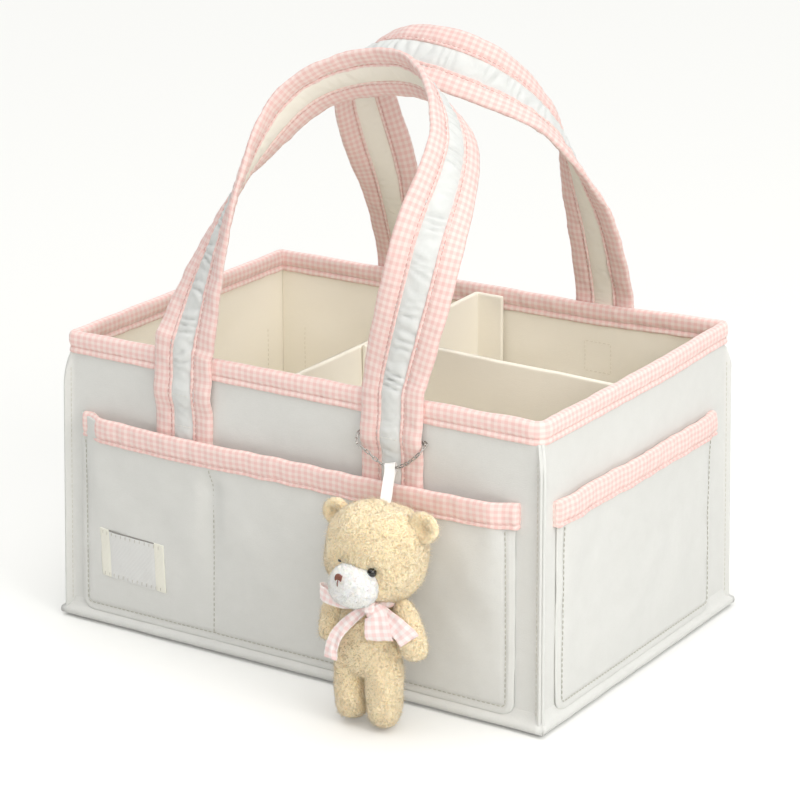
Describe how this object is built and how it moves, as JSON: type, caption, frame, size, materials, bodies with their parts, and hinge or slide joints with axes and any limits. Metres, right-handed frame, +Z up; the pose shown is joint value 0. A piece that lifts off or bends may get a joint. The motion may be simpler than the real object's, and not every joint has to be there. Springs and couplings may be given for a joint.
{
  "type": "felt storage bag",
  "caption": "Felt storage tub with gingham-bound rim and outside pockets, two strap handles, lift-out dividers and a small plush bear charm on a chain.",
  "frame": {"origin": "centre of the underside of the bottom, on the surface the bag stands on", "axes": "+Z up; +X along the long front wall, towards the end where the bear hangs; the front wall with the label and the bear faces -Y"},
  "size_m": [0.3486, 0.3058, 0.3579],
  "materials": {
    "white_felt": "matt pressed felt with short fibres",
    "pink_gingham_tape": "plain-woven cotton tape in pink and white checks",
    "quilted_cotton": "soft quilted cotton",
    "label_cloth": "smooth woven label, bare",
    "steel_chain": "bright plated wire",
    "satin_ribbon": "narrow satin ribbon",
    "bear_plush": "curly cream plush",
    "muzzle_plush": "short white plush",
    "nose_plastic": "satin brown",
    "eye_plastic": "glossy black bead",
    "bow_gingham": "thin cotton in pink and white checks",
    "touch_close_tape": "hook and pile tape"
  },
  "bodies": {
    "tub": {"front_panel": "white_felt", "back_panel": "white_felt", "left_panel": "white_felt", "right_panel": "white_felt", "bottom_panel": "white_felt", "rim_binding": "pink_gingham_tape", "front_pocket": "white_felt", "back_pocket": "white_felt", "left_pocket": "white_felt", "right_pocket": "white_felt", "front_pocket_binding": "pink_gingham_tape", "back_pocket_binding": "pink_gingham_tape", "left_pocket_binding": "pink_gingham_tape", "right_pocket_binding": "pink_gingham_tape", "label": "label_cloth", "front_handle_left_foot": "quilted_cotton", "front_handle_left_foot_edge_tape_a": "pink_gingham_tape", "front_handle_left_foot_edge_tape_b": "pink_gingham_tape", "front_handle_right_foot": "quilted_cotton", "front_handle_right_foot_edge_tape_a": "pink_gingham_tape", "front_handle_right_foot_edge_tape_b": "pink_gingham_tape", "back_handle_left_foot": "quilted_cotton", "back_handle_left_foot_edge_tape_a": "pink_gingham_tape", "back_handle_left_foot_edge_tape_b": "pink_gingham_tape", "back_handle_right_foot": "quilted_cotton", "back_handle_right_foot_edge_tape_a": "pink_gingham_tape", "back_handle_right_foot_edge_tape_b": "pink_gingham_tape", "pile_patch_front": "touch_close_tape", "pile_patch_back": "touch_close_tape", "pile_patch_right": "touch_close_tape"},
    "front_handle": {"front_handle_strap": "quilted_cotton", "front_handle_edge_tape_a": "pink_gingham_tape", "front_handle_edge_tape_b": "pink_gingham_tape"},
    "back_handle": {"back_handle_strap": "quilted_cotton", "back_handle_edge_tape_a": "pink_gingham_tape", "back_handle_edge_tape_b": "pink_gingham_tape"},
    "dividers": {"cross_divider": "white_felt", "long_divider": "white_felt", "hook_patch_front": "touch_close_tape", "hook_patch_back": "touch_close_tape", "hook_patch_right": "touch_close_tape"},
    "charm_chain": {"charm_chain": "steel_chain"},
    "bear": {"bear_head": "bear_plush", "bear_neck_ribbon": "bow_gingham", "bear_body": "bear_plush", "bear_muzzle": "muzzle_plush", "bear_nose": "nose_plastic", "bear_left_leg": "bear_plush", "bear_right_leg": "bear_plush", "bear_left_arm": "bear_plush", "bear_right_arm": "bear_plush", "bear_left_ear": "bear_plush", "bear_right_ear": "bear_plush", "bear_left_eye": "eye_plastic", "bear_right_eye": "eye_plastic", "bear_bow_knot": "bow_gingham", "bear_bow_left": "bow_gingham", "bear_bow_right": "bow_gingham", "bear_hang_loop": "satin_ribbon"}
  },
  "joints": [
    {"name": "front_handle_tilt", "type": "hinge", "parent": "tub", "child": "front_handle", "pos_m": [-0.0045, -0.11456, 0.1812], "axis": [1, 0, 0], "range_deg": [-5, 90]},
    {"name": "back_handle_tilt", "type": "hinge", "parent": "tub", "child": "back_handle", "pos_m": [0.0045, 0.11456, 0.1812], "axis": [-1, 0, 0], "range_deg": [-5, 160]},
    {"name": "divider_lift", "type": "slide", "parent": "tub", "child": "dividers", "axis": [0, 0, 1], "range_m": [0, 0.12]},
    {"name": "charm_swing", "type": "hinge", "parent": "tub", "child": "charm_chain", "pos_m": [0.068, -0.11159, 0.157], "axis": [-1, 0, 0], "range_deg": [0, 25]},
    {"name": "bear_sway", "type": "hinge", "parent": "charm_chain", "child": "bear", "pos_m": [0.06974, -0.11815, 0.1429], "axis": [0, 1, 0], "range_deg": [-15, 15]}
  ]
}
